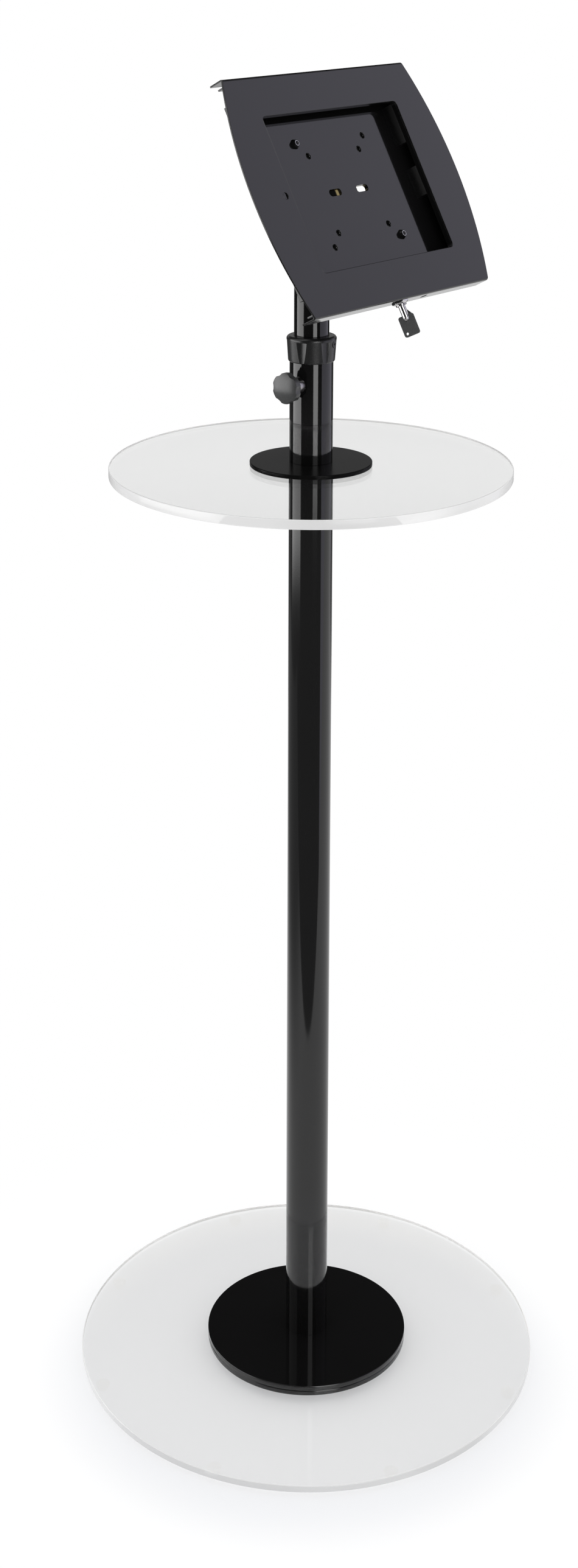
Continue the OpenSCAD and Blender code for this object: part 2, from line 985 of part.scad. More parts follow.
module lock_cam() {
    color(bright_steel)
        on_lock_axis()
            translate([0, 0, cam_low])
                linear_extrude(cam_top - cam_low)
                    difference() {
                        intersection() {
                            circle(d = plug_d);
                            square([cam_flat, plug_d], center = true);
                        }
                        circle(d = cam_pin_d + 2 * fit_gap);
                    }
}

module cam_nut() {
    color(bright_steel)
        on_lock_axis()
            translate([0, 0, cam_top])
                linear_extrude(cam_nut_h)
                    difference() {
                        circle(d = cam_nut_flats);
                        circle(d = cam_pin_d + 2 * fit_gap);
                    }
}

module key_stem() {
    stem_top = plug_face + key_in - 0.3;
    color(bright_steel)
        on_lock_axis() {
            difference() {
                translate([0, 0, stem_low])
                    cylinder(d = stem_d, h = stem_top - stem_low);
                translate([0, 0, plug_face - 0.5])
                    cylinder(d = stem_bore_d, h = key_in + 2);
            }
            translate([0, 0, stem_low])
                sphere(d = stem_d);
            rotate(key_turn)
                sheet_back(-tang_t / 2, tang_t)
                    polygon([
                        [1, tang_top],
                        [tang_w, bow_top],
                        [1, bow_top]
                    ]);
        }
}

module key_bow() {
    color(satin_black)
        on_lock_axis()
            rotate(key_turn)
                difference() {
                    translate([0, -bow_t / 2, bow_top - bow_l / 2])
                        sheet_back(0, bow_t)
                            difference() {
                                rounded_box(bow_w, bow_l, bow_r);
                                translate([ring_hole_in - bow_w / 2, ring_hole_in - bow_l / 2])
                                    circle(d = ring_hole_d);
                            }
                    translate([0, 0, stem_low])
                        cylinder(d = stem_d + 2 * fit_gap, h = bow_l);
                    translate([0, 0, stem_low])
                        sphere(d = stem_d + 2 * fit_gap);
                }
}

base_plate();
base_feet();
base_disc_lower();
base_disc_upper();
base_washer();
base_bolt();
lower_pole();
pole_foot_plug();
coupling_sleeve();
shelf_plate();
shelf_flange();
stub_tube();
outer_tube();
collar();
collar_screw();
clamp_boss();
clamp_knob();
clamp_stud();
clamp_pad();
glide_ring();
inner_tube();
mast_cap();
snap_ring();
mast_block();
mast_screws();
tilt_bracket();
tilt_bolt();
tilt_washers();
tilt_nut();
tray();
tray_screws();
tray_nuts();
foam_pads();
front_bezel();
bezel_strips();
lock_barrel();
lock_collar();
lock_nut();
lock_plug();
lock_cam();
cam_nut();
key_stem();
key_bow();
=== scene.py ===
import json
import math

import bmesh
import bpy
import numpy as np
from mathutils import Matrix, Vector


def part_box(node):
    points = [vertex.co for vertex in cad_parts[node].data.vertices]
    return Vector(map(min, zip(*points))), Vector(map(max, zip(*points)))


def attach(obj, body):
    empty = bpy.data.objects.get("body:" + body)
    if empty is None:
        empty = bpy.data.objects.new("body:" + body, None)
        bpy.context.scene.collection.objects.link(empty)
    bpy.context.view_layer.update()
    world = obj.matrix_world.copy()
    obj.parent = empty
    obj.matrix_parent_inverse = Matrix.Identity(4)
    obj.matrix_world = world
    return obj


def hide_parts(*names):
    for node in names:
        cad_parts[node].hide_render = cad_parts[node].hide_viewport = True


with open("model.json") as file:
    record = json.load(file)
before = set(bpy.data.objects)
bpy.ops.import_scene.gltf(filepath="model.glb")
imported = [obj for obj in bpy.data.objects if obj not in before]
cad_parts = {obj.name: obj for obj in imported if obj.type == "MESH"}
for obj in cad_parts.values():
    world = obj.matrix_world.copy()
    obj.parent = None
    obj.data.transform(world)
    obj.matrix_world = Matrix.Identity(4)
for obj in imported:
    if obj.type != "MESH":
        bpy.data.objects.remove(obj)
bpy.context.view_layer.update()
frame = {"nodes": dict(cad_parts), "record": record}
nodes = frame["nodes"]
scene = bpy.context.scene
scene.view_settings.view_transform = "Standard"
# Light runs round inside the clear plates many times before it leaves at the rim.
scene.cycles.max_bounces = 24
scene.cycles.glossy_bounces = 16
scene.cycles.transmission_bounces = 24
mm = 0.001
print("stage: frame loaded,", len(nodes), "nodes")


# A socket that does arithmetic: every operator adds one Math node.
class Wire:
    def __init__(self, graph, socket):
        self.graph, self.socket = graph, socket

    def calc(self, operation, first, second=None):
        return self.graph.maths("ShaderNodeMath", operation, first, second)

    def __add__(self, other):
        return self.calc("ADD", self, other)

    def __radd__(self, other):
        return self.calc("ADD", other, self)

    def __sub__(self, other):
        return self.calc("SUBTRACT", self, other)

    def __rsub__(self, other):
        return self.calc("SUBTRACT", other, self)

    def __mul__(self, other):
        return self.calc("MULTIPLY", self, other)

    def __rmul__(self, other):
        return self.calc("MULTIPLY", other, self)

    def atLeast(self, other):
        return self.calc("MAXIMUM", self, other)

    def atMost(self, other):
        return self.calc("MINIMUM", self, other)


# A node tree, with one method that makes any node: settings first, then socket values or links.
class Graph:
    def __init__(self, tree):
        self.tree = tree
        tree.nodes.clear()

    def node(self, kind, settings=None, sockets=None, out=0):
        made = self.tree.nodes.new(kind)
        for key, value in (settings or {}).items():
            setattr(made, key, value)
        for key, value in (sockets or {}).items():
            if isinstance(value, Wire):
                self.tree.links.new(value.socket, made.inputs[key])
            else:
                made.inputs[key].default_value = value
        return Wire(self, made.outputs[out])

    def close(self, kind, shader):
        output = self.tree.nodes.new(kind)
        self.tree.links.new(shader.socket, output.inputs["Surface"])

    def pick(self, wire, name):
        return Wire(self, wire.socket.node.outputs[name])

    def split(self, vector):
        parts = self.node("ShaderNodeSeparateXYZ", None, {0: vector})
        return [self.pick(parts, name) for name in "XYZ"]

    def maths(self, kind, operation, first, second=None, out=0):
        values = {0: first} if second is None else {0: first, 1: second}
        return self.node(kind, {"operation": operation}, values, out)

    # A number taken from vectors, such as a length.
    def measure(self, operation, first, second=None):
        return self.maths("ShaderNodeVectorMath", operation, first, second, out=1)

    # A soft step: 0 below low, 1 above high.
    def step(self, value, low, high):
        kind = {"interpolation_type": "SMOOTHSTEP"}
        return self.node("ShaderNodeMapRange", kind, {"Value": value, "From Min": low, "From Max": high})

    # A soft window: 1 between low and high, fading over the given width.
    def band(self, value, low, high, fade):
        rise = self.step(value, low - fade, low + fade)
        return rise * (1 - self.step(value, high - fade, high + fade))

    def blend(self, factor, first, second):
        kind = {"data_type": "RGBA"}
        return self.node("ShaderNodeMix", kind, {0: factor, 6: first, 7: second}, out=2)

    def noise(self, place, scale, detail):
        return self.node("ShaderNodeTexNoise", None, {"Vector": place, "Scale": scale, "Detail": detail})

    # The normal of an edge that looks rounded by the radius given, in metres.
    def edgeNormal(self, radius):
        return self.node("ShaderNodeBevel", {"samples": 6}, {"Radius": radius})

    # A bump by the strength and depth of a look, on top of another normal.
    def bump(self, height, look, normal=None):
        sockets = {"Height": height, "Strength": look["bump"], "Distance": look["deep"]}
        if normal is not None:
            sockets["Normal"] = normal
        return self.node("ShaderNodeBump", None, sockets)

    def principled(self, sockets):
        return self.node("ShaderNodeBsdfPrincipled", None, sockets)

    def mixShader(self, factor, first, second):
        return self.node("ShaderNodeMixShader", None, {0: factor, 1: first, 2: second})


def newMaterial(name):
    material = bpy.data.materials.new(name)
    material.use_nodes = True
    graph = Graph(material.node_tree)
    place = graph.pick(graph.node("ShaderNodeTexCoord"), "Object")
    return material, graph, place


def closed(material, graph, shader):
    graph.close("ShaderNodeOutputMaterial", shader)
    return material


def opaque(shade):
    return tuple(shade) + (1.0,)


def grey(level, tint=(1.0, 1.0, 1.0)):
    return opaque(level * part for part in tint)


# Camera: fitted to the photograph, in millimetres, degrees and pixels of the 950 by 2576 frame.
cameraFit = {
    "focalPixels": 3684.87,
    "frameHigh": 2576,
    "axisRow": 606.38,
    "yaw": 51.12,
    "pitch": 12.13,
    "roll": 0.00335,
    "right": -21.04,
    "away": 2053.36,
    "up": 1468.9,
    "sensor": 36.0,
    "farthest": 50,
}


# Level points away from the camera and right to its right, both flat; ahead is its line of sight.
def cameraAxes():
    yaw, pitch = math.radians(cameraFit["yaw"]), math.radians(cameraFit["pitch"])
    level = Vector((math.sin(yaw), math.cos(yaw), 0))
    right = Vector((math.cos(yaw), -math.sin(yaw), 0))
    ahead = level * math.cos(pitch) - Vector((0, 0, math.sin(pitch)))
    return level, right, ahead


def addCamera():
    level, right, ahead = cameraAxes()
    up = right.cross(ahead)
    roll = cameraFit["roll"]
    side = right * math.cos(roll) + up * math.sin(roll)
    top = side.cross(ahead)
    data = bpy.data.cameras.new("photoCamera")
    data.sensor_width = cameraFit["sensor"]
    data.lens = cameraFit["focalPixels"] / cameraFit["frameHigh"] * cameraFit["sensor"]
    data.shift_y = cameraFit["axisRow"] / cameraFit["frameHigh"] - 0.5
    data.clip_end = cameraFit["farthest"]
    camera = bpy.data.objects.new("photoCamera", data)
    scene.collection.objects.link(camera)
    spot = right * cameraFit["right"] - level * cameraFit["away"] + Vector((0, 0, cameraFit["up"]))
    facing = Matrix((side, top, -ahead)).transposed().to_4x4()
    camera.matrix_world = Matrix.Translation(spot * mm) @ facing
    scene.camera = camera


addCamera()
print("stage: camera")


# Studio: white all round for the eye and for matt surfaces, panels and dark cards for mirrors.
# Angles run round the stand from the camera, right as positive, and up from level, in degrees.
studio = {
    "ambient": 0.97,
    "dark": 0.03,
    "lowGlow": {"from": -16, "to": -11, "light": 0.16},
    "leftStrip": {
        "from": -111,
        "to": -55,
        "fade": 1.5,
        "low": -17.0,
        "top": 14,
        "soft": 1.2,
        "above": 0.25,
        "light": 3.6,
    },
    "thinStrip": {"from": 10, "to": 34.5, "fade": 1.0, "low": -14.6, "soft": 1.0, "light": 4.0},
    "rightWall": {
        "from": 56,
        "to": 132,
        "fade": 1.2,
        "top": 31,
        "soft": 1.5,
        "above": 0.25,
        "light": 0.84,
        "tint": (1.0, 0.98, 1.15),
    },
    "backWall": {"half": 40, "fade": 3, "low": 8, "top": 17, "soft": 3, "light": 0.62},
    "topLamp": {"spot": (-0.6, -0.3, 3.4), "aim": (0, 0, 0.6), "size": 2.6, "watts": 14},
}


# A panel is a window round the stand. It may begin at a height, and keep only a share above its top.
def panelMask(graph, turn, rise, panel):
    mask = graph.band(turn, panel["from"], panel["to"], panel["fade"])
    soft = panel["soft"]
    if "low" in panel:
        mask = mask * graph.step(rise, panel["low"] - soft, panel["low"] + soft)
    if "top" in panel:
        high = graph.step(rise, panel["top"] - soft, panel["top"] + soft)
        mask = mask * (1 - (1 - panel["above"]) * high)
    return mask


# The eye, and light that comes straight through the clear plates, meet plain white. Mirrors, and light
# that passes the plates after a mirror, meet the panels. All other light is the even ambient level.
def addWorld():
    world = bpy.data.worlds.new("studio")
    scene.world = world
    world.use_nodes = True
    graph = Graph(world.node_tree)
    x, y, z = graph.split(graph.pick(graph.node("ShaderNodeTexCoord"), "Generated"))
    level, right, _ = cameraAxes()
    across = x * right.x + y * right.y
    towards = x * -level.x + y * -level.y
    turn = across.calc("ARCTAN2", across, towards) * math.degrees(1)
    rise = z.calc("ARCSINE", z) * math.degrees(1)
    left, thin, wall = studio["leftStrip"], studio["thinStrip"], studio["rightWall"]
    back, glow = studio["backWall"], studio["lowGlow"]
    leftMask, thinMask, wallMask = (panelMask(graph, turn, rise, panel) for panel in (left, thin, wall))
    behind = 180 - turn.calc("ABSOLUTE", turn)
    backMask = 1 - graph.step(behind, back["half"] - back["fade"], back["half"] + back["fade"])
    backMask = backMask * graph.band(rise, back["low"], back["top"], back["soft"])
    lowMask = 1 - graph.step(rise, glow["from"], glow["to"])
    mirrored = leftMask * left["light"] + thinMask * thin["light"] + backMask * back["light"]
    mirrored = mirrored + lowMask * glow["light"] + studio["dark"]
    path = graph.node("ShaderNodeLightPath")
    bounced = graph.pick(path, "Glossy Depth").atMost(1.0)
    through = graph.pick(path, "Is Transmission Ray")
    seen = graph.pick(path, "Is Camera Ray").atLeast(through * (1 - bounced))
    glossy = graph.pick(path, "Is Glossy Ray").atLeast(through * bounced)
    strength = seen + (1 - seen) * (glossy * mirrored + (1 - glossy) * studio["ambient"])
    white = graph.node("ShaderNodeBackground", None, {"Color": grey(1.0), "Strength": strength})
    card = graph.node("ShaderNodeBackground", None, {
        "Color": opaque(wall["tint"]),
        "Strength": (1 - seen) * glossy * wallMask * wall["light"],
    })
    graph.close("ShaderNodeOutputWorld", graph.node("ShaderNodeAddShader", None, {0: white, 1: card}))


def addTopLamp():
    lamp = studio["topLamp"]
    data = bpy.data.lights.new("topLamp", "AREA")
    data.shape = "SQUARE"
    data.size = lamp["size"]
    data.energy = lamp["watts"]
    made = bpy.data.objects.new("topLamp", data)
    scene.collection.objects.link(made)
    spot = Vector(lamp["spot"])
    aim = (Vector(lamp["aim"]) - spot).to_track_quat("-Z", "Y")
    made.matrix_world = Matrix.Translation(spot) @ aim.to_matrix().to_4x4()


# Floor: a pale table. Its front edge lies just ahead of the stand, and a tongue runs on behind it.
# A soft round shadow, moved towards the camera, tints it. Near the base half of what the eye sees is
# matt, and further out the table is as white as the backdrop. Mirrors see it a little brighter within
# the shadow, and falling off to the left.
floorCard = {
    "front": 0.675,
    "back": 1.7,
    "left": 2.0,
    "right": 4.0,
    "tongue": {"half": 0.7, "end": 3.0},
    "shade": (0.98, 0.984, 0.99),
    "shadow": {"ahead": 0.033, "from": 0.205, "to": 0.285, "tint": (0.90, 0.906, 0.922), "gain": 0.3},
    "white": {"from": 0.32, "to": 0.46, "least": 0.5},
    "fall": {"from": 0.35, "to": 1.1, "loss": 0.68},
}


def floorFinish(level, right):
    material, graph, place = newMaterial("paleFloor")
    shade, shadow, white, fall = (floorCard[key] for key in ("shade", "shadow", "white", "fall"))
    moved = graph.maths("ShaderNodeVectorMath", "ADD", place, level * shadow["ahead"])
    clear = graph.step(graph.measure("LENGTH", moved), shadow["from"], shadow["to"])
    dim = [part * tint for part, tint in zip(shade, shadow["tint"])]
    matt = graph.node("ShaderNodeBsdfDiffuse", None, {
        "Color": graph.blend(clear, opaque(dim), opaque(shade)),
    })
    path = graph.node("ShaderNodeLightPath")
    mirrored = graph.pick(path, "Glossy Depth").atMost(1.0)
    aside = graph.measure("DOT_PRODUCT", place, -right)
    loss = mirrored * graph.step(aside, fall["from"], fall["to"]) * fall["loss"]
    gain = mirrored * (1 - clear) * shadow["gain"]
    backdrop = graph.node("ShaderNodeEmission", None, {
        "Color": graph.blend(clear, opaque(shadow["tint"]), grey(1.0)),
        "Strength": 1 - loss + gain,
    })
    seen = graph.pick(path, "Is Camera Ray").atLeast(graph.pick(path, "Is Transmission Ray"))
    seen = seen.atLeast(mirrored)
    far = graph.step(graph.measure("LENGTH", place), white["from"], white["to"])
    share = white["least"] + (1 - white["least"]) * far
    return closed(material, graph, graph.mixShader(seen * share, matt, backdrop))


def addFloor():
    level, right, _ = cameraAxes()
    front, back = -floorCard["front"], floorCard["back"]
    leftEnd, rightEnd = -floorCard["left"], floorCard["right"]
    half, end = floorCard["tongue"]["half"], floorCard["tongue"]["end"]
    corners = [(leftEnd, front), (rightEnd, front), (rightEnd, back), (half, back),
               (half, end), (-half, end), (-half, back), (leftEnd, back)]
    points = [tuple(right * a + level * b) for a, b in corners]
    mesh = bpy.data.meshes.new("floor")
    mesh.from_pydata(points, [], [tuple(range(len(points)))])
    mesh.materials.append(floorFinish(level, right))
    floor = bpy.data.objects.new("floor", mesh)
    scene.collection.objects.link(floor)


addWorld()
addTopLamp()
addFloor()
print("stage: studio")


# The head: its lean, the height of its tilt axis, and how far its face stands ahead of that axis.
headTilt = math.radians(28)
headSpot = {"height": 1177.3, "back": -63.3}


# Places in the head, across, back and up from the tilt axis, in metres and turned with it.
def headFrame(graph, place):
    x, y, z = graph.split(place)
    z = z - headSpot["height"] * mm
    back = y * math.cos(headTilt) - z * math.sin(headTilt)
    rise = y * math.sin(headTilt) + z * math.cos(headTilt)
    return x, back, rise


# Distance from the nearest corner of a square about the head's middle, by half its side.
def cornerReach(across, rise, half):
    across = across.calc("ABSOLUTE", across) - half
    rise = rise.calc("ABSOLUTE", rise) - half
    return across.calc("SQRT", across * across + rise * rise)


# Finishes. A noise is given by its scale and detail, a pair of shades by its two ends.
# Gloss paint: near black, drifting with a slow noise, under a fine orange peel. Round the tray's small
# holes it dips over the last part of a millimetre, by the distance from the nearest hole.
paint = {
    "greys": (0.003, 0.005),
    "tint": (1.0, 0.97, 1.03),
    "cloud": (14.0, 3.0),
    "peel": (900.0, 2.0),
    "vary": 0.04,
    "bump": 0.03,
    "deep": 0.0002,
}
holeRim = {"squares": (0.0375, 0.05), "from": 0.0024, "to": 0.0034, "bump": 1.0, "deep": 0.001}


def glossBlack(name, rough=0.045, edge=0.0006, index=1.5, dipped=False):
    material, graph, place = newMaterial(name)
    cloud = graph.noise(place, *paint["cloud"])
    normal = graph.edgeNormal(edge)
    if dipped:
        across, _, rise = headFrame(graph, place)
        small, large = (cornerReach(across, rise, half) for half in holeRim["squares"])
        height = graph.step(small.atMost(large), holeRim["from"], holeRim["to"])
        normal = graph.bump(height, holeRim, normal)
    low, high = paint["greys"]
    return closed(material, graph, graph.principled({
        "Base Color": graph.blend(cloud, grey(low), grey(high, paint["tint"])),
        "Roughness": rough + paint["vary"] * cloud,
        "Normal": graph.bump(graph.noise(place, *paint["peel"]), paint, normal),
        "IOR": index,
    }))


# Satin plastic: a slow noise drifts its grey, a fine grain roughens and bumps it.
satin = {
    "tint": (0.97, 1.0, 1.03),
    "cloud": (30.0, 3.0),
    "grain": (2600.0, 2.0),
    "vary": 0.12,
    "edge": 0.0005,
    "bump": 0.12,
    "deep": 0.0002,
    "index": 1.5,
}


def satinBlack(name, greys, rough):
    material, graph, place = newMaterial(name)
    cloud = graph.noise(place, *satin["cloud"])
    grain = graph.noise(place, *satin["grain"])
    low, high = greys
    return closed(material, graph, graph.principled({
        "Base Color": graph.blend(cloud, grey(low), grey(high, satin["tint"])),
        "Roughness": rough + satin["vary"] * grain,
        "Normal": graph.bump(grain, satin, graph.edgeNormal(satin["edge"])),
        "IOR": satin["index"],
    }))


# Clear sheet: glass to the eye and to mirrors, a faint tint to lamps and matt surfaces. Beyond the
# radius given it turns into the cut rim. The rim is rough and lightly frosted, and its pale grey with
# brighter patches is painted light: it stands in for the light that the sheet carries round to its rim.
sheet = {
    "cloud": (9.0, 2.0),
    "tints": ((0.982, 0.985, 0.983), (0.99, 0.992, 0.99)),
    "letThrough": (0.986, 0.978, 0.966),
    "index": 1.49,
}
cutRim = {
    "inset": 0.0008,
    "fade": 0.0003,
    "share": 0.8,
    "patch": (7.0, 1.0),
    "from": 0.35,
    "to": 0.65,
    "greys": (0.80, 0.95),
    "rough": 0.25,
    "index": 1.3,
}


def clearAcrylic(name, radius):
    material, graph, place = newMaterial(name)
    cloud = graph.noise(place, *sheet["cloud"])
    glass = graph.principled({
        "Base Color": graph.blend(cloud, *map(opaque, sheet["tints"])),
        "Roughness": 0.0,
        "Transmission Weight": 1.0,
        "IOR": sheet["index"],
    })
    letThrough = graph.node("ShaderNodeBsdfTransparent", None, {"Color": opaque(sheet["letThrough"])})
    path = graph.node("ShaderNodeLightPath")
    lamp = graph.pick(path, "Is Shadow Ray").atLeast(graph.pick(path, "Is Diffuse Ray"))
    # The rim's pale grey, and the brighter patches from this noise, are painted light for the light that
    # the sheet carries to its rim.
    patch = graph.step(graph.noise(place, *cutRim["patch"]), cutRim["from"], cutRim["to"])
    frostAndPaintedLight = graph.principled({
        "Base Color": graph.blend(patch, *map(grey, cutRim["greys"])),
        "Roughness": cutRim["rough"],
        "IOR": cutRim["index"],
    })
    x, y, _ = graph.split(place)
    reach = x.calc("SQRT", x * x + y * y)
    cut = graph.step(reach, radius - cutRim["fade"], radius) * cutRim["share"]
    return closed(material, graph, graph.mixShader(cut, graph.mixShader(lamp, glass, letThrough), frostAndPaintedLight))


# Bare metal: one noise drifts its tone and roughness, and a noise twelve times finer bumps it.
bareMetal = {
    "detail": 3.0,
    "finer": 12,
    "fineDetail": 2.0,
    "vary": 0.1,
    "edge": 0.0003,
    "bump": 0.05,
    "deep": 0.0002,
}


def metal(name, light, dark, rough, scale):
    material, graph, place = newMaterial(name)
    cloud = graph.noise(place, scale, bareMetal["detail"])
    fine = graph.noise(place, scale * bareMetal["finer"], bareMetal["fineDetail"])
    return closed(material, graph, graph.principled({
        "Base Color": graph.blend(cloud, opaque(light), opaque(dark)),
        "Roughness": rough + bareMetal["vary"] * cloud,
        "Metallic": 1.0,
        "Normal": graph.bump(fine, bareMetal, graph.edgeNormal(bareMetal["edge"])),
    }))


# Plain matt stuff: one noise drives its tone, roughness and bump.
mattStuff = {"detail": 4.0, "vary": 0.1, "deep": 0.0004}


def plain(name, light, dark, rough, scale, bump):
    material, graph, place = newMaterial(name)
    cloud = graph.noise(place, scale, mattStuff["detail"])
    return closed(material, graph, graph.principled({
        "Base Color": graph.blend(cloud, opaque(light), opaque(dark)),
        "Roughness": rough + mattStuff["vary"] * cloud,
        "Normal": graph.bump(cloud, {"bump": bump, "deep": mattStuff["deep"]}),
    }))


# Zinc across the middle of the plate and the roots of the ears, black coating elsewhere: split by the
# depth and the height in the head, both turned with it.
zinc = {
    "depth": -0.0435,
    "depthFade": 0.0008,
    "half": 0.009,
    "halfFade": 0.001,
    "cloud": (60.0, 3.0),
    "tones": ((0.10, 0.078, 0.034), (0.08, 0.066, 0.036)),
    "coat": 0.006,
    "rough": 0.35,
    "coatRough": 0.3,
    "index": 1.05,
}


def coatedZinc():
    material, graph, place = newMaterial("yellowZinc")
    _, back, rise = headFrame(graph, place)
    bare = graph.band(rise, -zinc["half"], zinc["half"], zinc["halfFade"])
    coat = graph.step(back, zinc["depth"] - zinc["depthFade"], zinc["depth"] + zinc["depthFade"])
    coat = coat.atLeast(1 - bare)
    tone = graph.blend(graph.noise(place, *zinc["cloud"]), *map(opaque, zinc["tones"]))
    return closed(material, graph, graph.principled({
        "Base Color": graph.blend(coat, tone, grey(zinc["coat"])),
        "Roughness": zinc["rough"] + zinc["coatRough"] * coat,
        "Metallic": 1 - coat,
        "IOR": zinc["index"],
    }))


# Soft clear rubber: it lets nearly all light through and keeps a faint warm haze.
rubber = {
    "cloud": (300.0, 2.0),
    "tints": ((0.95, 0.93, 0.86), (0.90, 0.89, 0.84)),
    "letThrough": (0.996, 0.995, 0.991),
    "haze": 0.004,
    "vary": 0.008,
}


def clearRubber():
    material, graph, place = newMaterial("clearRubber")
    cloud = graph.noise(place, *rubber["cloud"])
    tint = graph.blend(cloud, *map(opaque, rubber["tints"]))
    haze = graph.node("ShaderNodeBsdfDiffuse", None, {"Color": tint})
    letThrough = graph.node("ShaderNodeBsdfTransparent", None, {"Color": opaque(rubber["letThrough"])})
    share = rubber["haze"] + rubber["vary"] * cloud
    return closed(material, graph, graph.mixShader(share, letThrough, haze))


# Black oxide screws: dull sides, a glossier top and a worn, bright rim round the socket, by the
# distance from the screw's axis.
oxide = {
    "square": 0.05,
    "cloud": (500.0, 2.0),
    "rim": {"from": 0.0019, "to": 0.0026, "fade": 0.0001, "greys": (0.42, 0.30)},
    "top": {"grey": 0.004, "rough": 0.2, "vary": 0.1, "index": 1.4},
    "side": {"from": 0.0036, "to": 0.0042, "greys": (0.003, 0.006), "rough": 0.6, "index": 1.1},
}


def socketSteel():
    material, graph, place = newMaterial("socketSteel")
    rim, top, side = oxide["rim"], oxide["top"], oxide["side"]
    across, _, rise = headFrame(graph, place)
    reach = cornerReach(across, rise, oxide["square"])
    worn = graph.band(reach, rim["from"], rim["to"], rim["fade"])
    dull = graph.step(reach, side["from"], side["to"])
    cloud = graph.noise(place, *oxide["cloud"])
    bright = graph.blend(cloud, *map(grey, rim["greys"]))
    glossy = graph.principled({
        "Base Color": graph.blend(worn, grey(top["grey"]), bright),
        "Metallic": worn,
        "Roughness": top["rough"] + top["vary"] * cloud,
        "IOR": top["index"],
    })
    rough = graph.principled({
        "Base Color": graph.blend(cloud, *map(grey, side["greys"])),
        "Roughness": side["rough"],
        "IOR": side["index"],
    })
    return closed(material, graph, graph.mixShader(dull, glossy, rough))


# Each node has the finish of its slot, unless it has one of its own.
finishes = {
    "black_gloss": glossBlack("glossBlackPaint"),
    "black_plastic": satinBlack("satinBlackPlastic", greys=(0.006, 0.010), rough=0.22),
    "slide_plastic": plain("slidePlastic", light=(0.8, 0.78, 0.7), dark=(0.7, 0.68, 0.6),
                           rough=0.4, scale=300.0, bump=0.1),
    "steel": metal("steel", light=(0.62, 0.62, 0.64), dark=(0.5, 0.5, 0.52), rough=0.22, scale=220.0),
    "black_steel": plain("blackSteel", light=(0.012, 0.012, 0.012), dark=(0.02, 0.02, 0.021),
                         rough=0.25, scale=500.0, bump=0.1),
    "zinc": coatedZinc(),
    "chrome": metal("chrome", light=(0.40, 0.39, 0.40), dark=(0.30, 0.29, 0.29), rough=0.16, scale=90.0),
    "foam": plain("foam", light=(0.88, 0.88, 0.885), dark=(0.95, 0.95, 0.955),
                  rough=0.9, scale=1200.0, bump=0.5),
}
brightChrome = metal("brightChrome", light=(0.62, 0.61, 0.61), dark=(0.5, 0.49, 0.49),
                     rough=0.12, scale=90.0)
ownFinishes = {
    "base_feet": clearRubber(),
    "front_bezel": glossBlack("bezelPaint", edge=0.001),
    "shelf_flange": glossBlack("flangePaint", rough=0.25, index=1.12),
    "tray": glossBlack("trayPaint", dipped=True),
    "tray_screws": socketSteel(),
    "key_stem": brightChrome,
    "lock_collar": brightChrome,
    "key_bow": satinBlack("bowPlastic", greys=(0.045, 0.055), rough=0.35),
    "clamp_knob": satinBlack("knobPlastic", greys=(0.03, 0.05), rough=0.2),
    "base_plate": clearAcrylic("clearBase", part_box("base_plate")[1].x - cutRim["inset"]),
    "shelf_plate": clearAcrylic("clearShelf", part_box("shelf_plate")[1].x - cutRim["inset"]),
}
slotOf = {entry["node"]: entry["material_slot"] for entry in frame["record"]["subparts"]}
finishOf = {node: ownFinishes[node] if node in ownFinishes else finishes[slot]
            for node, slot in slotOf.items()}
for name, piece in nodes.items():
    piece.data.materials.clear()
    piece.data.materials.append(finishOf[name])
print("stage: finishes")


# Surfaces. A corner becomes an arc that touches both of its sides: from start to end about its centre,
# each weighed by the sine of the angle still to go.
def roundCorners(points, radii, steps=5):
    points = np.array(points, float)
    t = np.linspace(0, 1, steps + 1)[:, None]
    rows = []
    for i, radius in enumerate(radii):
        corner = points[i]
        if radius == 0:
            rows.append(corner[None])
            continue
        back, on = points[i - 1] - corner, points[(i + 1) % len(points)] - corner
        back, on = back / np.linalg.norm(back), on / np.linalg.norm(on)
        half = math.acos(np.clip(back @ on, -1, 1)) / 2
        middle = (back + on) / np.linalg.norm(back + on)
        centre = corner + middle * radius / math.sin(half)
        start = corner + back * radius / math.tan(half) - centre
        end = corner + on * radius / math.tan(half) - centre
        sweep = math.pi - 2 * half
        arc = np.sin((1 - t) * sweep) * start + np.sin(t * sweep) * end
        rows.append(centre + arc / math.sin(sweep))
    return np.vstack(rows)


# Quads of a grid of rows by columns that closes on itself both ways.
def gridFaces(rows, columns):
    i, j = np.arange(rows)[:, None], np.arange(columns)[None]
    up, on = (i + 1) % rows, (j + 1) % columns
    quads = [i * columns + j, i * columns + on, up * columns + on, up * columns + j]
    return np.stack(quads, -1).reshape(-1, 4)


# A mesh from points and quads: doubles merged, normals outward, smooth except at real edges.
clean = {"doubles": 1e-7, "slivers": 1e-8, "sharp": math.radians(35)}


def makePiece(name, points, faces, material, body, node=None):
    mesh = bpy.data.meshes.new(name)
    mesh.from_pydata(points.reshape(-1, 3), [], faces.tolist())
    work = bmesh.new()
    work.from_mesh(mesh)
    bmesh.ops.remove_doubles(work, verts=work.verts, dist=clean["doubles"])
    bmesh.ops.dissolve_degenerate(work, edges=work.edges, dist=clean["slivers"])
    bmesh.ops.recalc_face_normals(work, faces=work.faces)
    work.to_mesh(mesh)
    work.free()
    mesh.shade_smooth()
    mesh.set_sharp_from_angle(angle=clean["sharp"])
    mesh.materials.append(material)
    piece = bpy.data.objects.new(name, mesh)
    scene.collection.objects.link(piece)
    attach(piece, body)
    if node:
        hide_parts(node)
    return piece


# A closed outline of radius and height, in metres, turned about the column.
def turned(outline, count):
    angle = np.linspace(0, 2 * math.pi, count, endpoint=False)
    radius, height = outline[:, 0][:, None], outline[:, 1][:, None]
    points = np.stack([radius * np.cos(angle), radius * np.sin(angle), height + 0 * angle], -1)
    return points, gridFaces(len(outline), count)


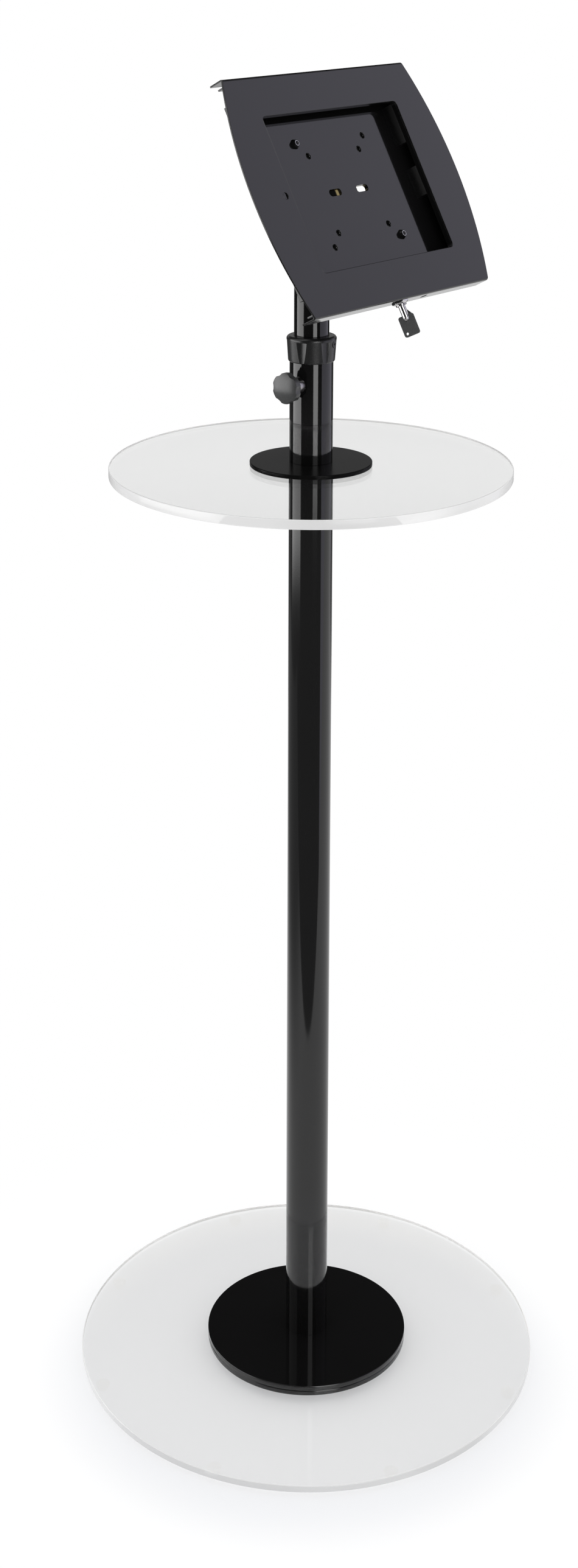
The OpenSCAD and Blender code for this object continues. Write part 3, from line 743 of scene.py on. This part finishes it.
# Plates: flat rings, fitted to a CAD node's own box, whose outer edges are quarter circles of the radius
# given. A loop just inside the edge, by its radius times the inset, keeps the faces flat.
ring = {"inset": 1.5, "count": 256}
plates = {
    "base_plate": {"name": "basePlate", "bore": 0.00605, "edge": 0.0009},
    "shelf_plate": {"name": "shelfPlate", "bore": 0.0185, "edge": 0.0009},
    "base_disc_lower": {"name": "lowerDisc", "bore": 0.00605, "edge": 0.0007},
    "base_disc_upper": {"name": "upperDisc", "bore": 0.00605, "edge": 0.0007},
    "shelf_flange": {"name": "shelfFlange", "bore": 0.0185, "edge": 0.0006},
}
bodyOf = {node: body for body, names in frame["record"]["behaviour"]["bodies"].items() for node in names}


def addPlate(node, name, bore, edge):
    low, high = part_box(node)
    outer = high.x
    flat = outer - ring["inset"] * edge
    corners = [(bore, low.z), (flat, low.z), (outer, low.z),
               (outer, high.z), (flat, high.z), (bore, high.z)]
    points, faces = turned(roundCorners(corners, [0, 0, edge, edge, 0, 0]), ring["count"])
    makePiece(name, points, faces, finishOf[node], bodyOf[node], node)


for node, shape in plates.items():
    addPlate(node, **shape)
print("stage: plates")


# Places of the head, in millimetres across, back and up, taken to the world in metres.
def headPlaces(across, back, up):
    back = back + headSpot["back"]
    y = back * math.cos(headTilt) + up * math.sin(headTilt)
    z = up * math.cos(headTilt) - back * math.sin(headTilt) + headSpot["height"]
    return np.stack([across, y, z], -1) * mm


# Edge trim of the window: a thin black lip behind the face, a rectangular section swept along a rounded
# rectangle, in millimetres.
trim = {"half": (98.75, 74.5), "corner": 4.5, "thick": 1.2, "front": 1.55, "deep": 6.2, "steps": 8}


def trimLoop(grow):
    wide, high = (half + grow for half in trim["half"])
    corners = [(wide, high), (-wide, high), (-wide, -high), (wide, -high)]
    return roundCorners(corners, [trim["corner"] + grow] * len(corners), trim["steps"])


def addTrim():
    inner, outer = trimLoop(0), trimLoop(trim["thick"])
    front, deep = trim["front"], trim["deep"]
    section = [(inner, front), (outer, front), (outer, deep), (inner, deep)]
    points = np.stack([headPlaces(loop[:, 0], depth, loop[:, 1]) for loop, depth in section])
    faces = gridFaces(len(section), len(inner))
    piece = makePiece("windowTrim", points, faces, finishes["black_gloss"], "bezel")


addTrim()
print("stage: trim")
